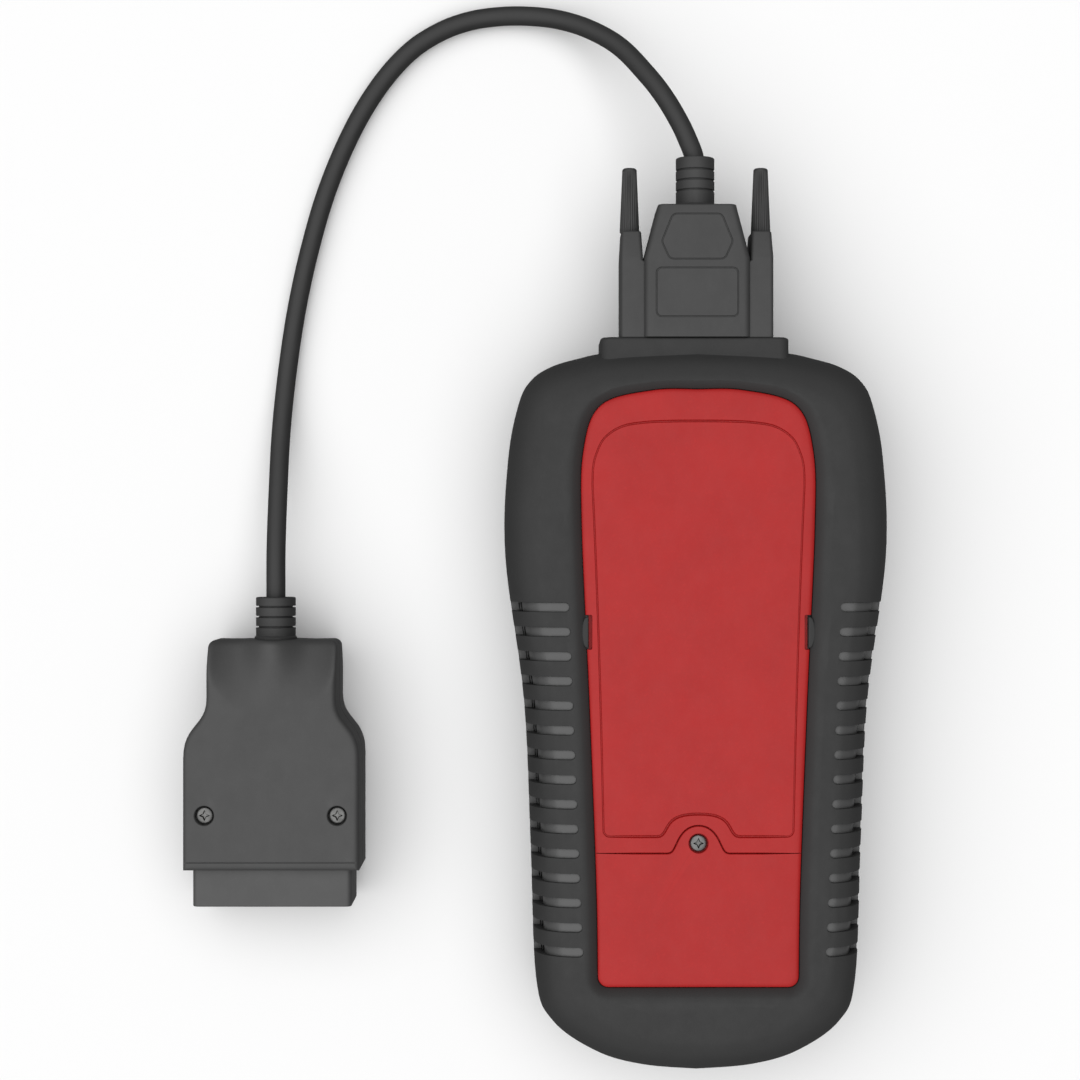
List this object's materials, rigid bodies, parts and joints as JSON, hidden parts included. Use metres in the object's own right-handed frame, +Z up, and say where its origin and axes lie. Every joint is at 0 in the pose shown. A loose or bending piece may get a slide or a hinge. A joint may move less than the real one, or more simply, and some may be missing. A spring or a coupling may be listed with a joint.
{
  "type": "vehicle code reader",
  "caption": "Handheld vehicle diagnostic code reader in a slotted rubber boot, with battery door, keypad, screen and a short screw-on cable ending in a diagnostic plug.",
  "frame": {"origin": "on the supporting surface under the middle of the handheld, which lies on its front; the cable and its plugs are left out of that middle", "axes": "+Z up out of the back cover, +Y from the battery end towards the cable port, +X to the right seen from above"},
  "size_m": [0.1783, 0.2734, 0.0346],
  "materials": {
    "boot_rubber": "matte moulded rubber",
    "housing_plastic": "satin moulded grey plastic",
    "red_plastic": "satin moulded red plastic, fine texture",
    "screw_steel": "dull zinc-plated steel",
    "battery_can": "gloss wrapped can",
    "black_plastic": "moulded black plastic",
    "window_plastic": "polished clear window",
    "display": "grey-green display face",
    "circuit_board": "solder mask",
    "key_rubber": "silicone rubber",
    "connector_steel": "tinned steel",
    "hood_plastic": "matte moulded grey plastic",
    "relief_rubber": "matte moulded rubber",
    "cord_jacket": "matte jacket",
    "plug_plastic": "matte moulded dark grey plastic",
    "nose_plastic": "matte moulded grey plastic",
    "contact_brass": "plated brass"
  },
  "bodies": {
    "handheld": {"rubber_boot": "boot_rubber", "back_housing": "housing_plastic", "front_housing": "housing_plastic", "back_panel": "red_plastic", "battery": "battery_can", "battery_snap": "black_plastic", "lcd_window": "window_plastic", "lcd_module": "display", "main_board": "circuit_board", "keypad_membrane": "key_rubber", "processor_chip": "black_plastic", "memory_chip": "black_plastic", "bus_transceiver_chip": "black_plastic", "buzzer": "black_plastic", "port_shell": "connector_steel", "port_pins": "black_plastic", "jack_nut_left": "connector_steel", "jack_nut_right": "connector_steel", "case_screw_head_left": "screw_steel", "case_screw_head_right": "screw_steel", "case_screw_foot_left": "screw_steel", "case_screw_foot_right": "screw_steel", "board_screw_head_left": "screw_steel", "board_screw_head_right": "screw_steel", "board_screw_middle_left": "screw_steel", "board_screw_middle_right": "screw_steel"},
    "door": {"battery_door": "red_plastic"},
    "door_screw": {"door_screw": "screw_steel"},
    "cable": {"cable_plug_shell": "connector_steel", "cable_plug_sockets": "black_plastic", "cable_hood": "hood_plastic", "hood_strain_relief": "relief_rubber", "cord": "cord_jacket", "plug_shell_upper": "plug_plastic", "plug_shell_lower": "plug_plastic", "plug_nose": "nose_plastic", "plug_pins": "contact_brass", "plug_strain_relief": "relief_rubber", "plug_screw_left": "screw_steel", "plug_screw_right": "screw_steel"},
    "thumbscrew_left": {"thumbscrew_left": "hood_plastic"},
    "thumbscrew_right": {"thumbscrew_right": "hood_plastic"},
    "key_up": {"key_up": "key_rubber"},
    "key_down": {"key_down": "key_rubber"},
    "key_left": {"key_left": "key_rubber"},
    "key_right": {"key_right": "key_rubber"},
    "key_ok": {"key_ok": "key_rubber"},
    "key_back": {"key_back": "key_rubber"},
    "key_help": {"key_help": "key_rubber"}
  },
  "joints": [
    {"name": "cable_pull", "type": "slide", "parent": "handheld", "child": "cable", "axis": [0, 1, 0], "range_m": [0, 0.012]},
    {"name": "thumbscrew_left_turn", "type": "hinge", "parent": "cable", "child": "thumbscrew_left", "pos_m": [-0.01666, 0.127, 0.0205], "axis": [0, 1, 0], "continuous": true},
    {"name": "thumbscrew_right_turn", "type": "hinge", "parent": "cable", "child": "thumbscrew_right", "pos_m": [0.01666, 0.127, 0.0205], "axis": [0, 1, 0], "continuous": true},
    {"name": "battery_door_lift", "type": "slide", "parent": "handheld", "child": "door", "axis": [0, 0, 1], "range_m": [0, 0.025]},
    {"name": "door_screw_turn", "type": "hinge", "parent": "door", "child": "door_screw", "pos_m": [0, -0.034, 0.0334], "axis": [0, 0, 1], "continuous": true},
    {"name": "key_up_press", "type": "slide", "parent": "handheld", "child": "key_up", "axis": [0, 0, 1], "range_m": [0, 0.0008], "stiffness_N_per_m": 800},
    {"name": "key_down_press", "type": "slide", "parent": "handheld", "child": "key_down", "axis": [0, 0, 1], "range_m": [0, 0.0008], "stiffness_N_per_m": 800},
    {"name": "key_left_press", "type": "slide", "parent": "handheld", "child": "key_left", "axis": [0, 0, 1], "range_m": [0, 0.0008], "stiffness_N_per_m": 800},
    {"name": "key_right_press", "type": "slide", "parent": "handheld", "child": "key_right", "axis": [0, 0, 1], "range_m": [0, 0.0008], "stiffness_N_per_m": 800},
    {"name": "key_ok_press", "type": "slide", "parent": "handheld", "child": "key_ok", "axis": [0, 0, 1], "range_m": [0, 0.0008], "stiffness_N_per_m": 800},
    {"name": "key_back_press", "type": "slide", "parent": "handheld", "child": "key_back", "axis": [0, 0, 1], "range_m": [0, 0.0008], "stiffness_N_per_m": 800},
    {"name": "key_help_press", "type": "slide", "parent": "handheld", "child": "key_help", "axis": [0, 0, 1], "range_m": [0, 0.0008], "stiffness_N_per_m": 800}
  ]
}
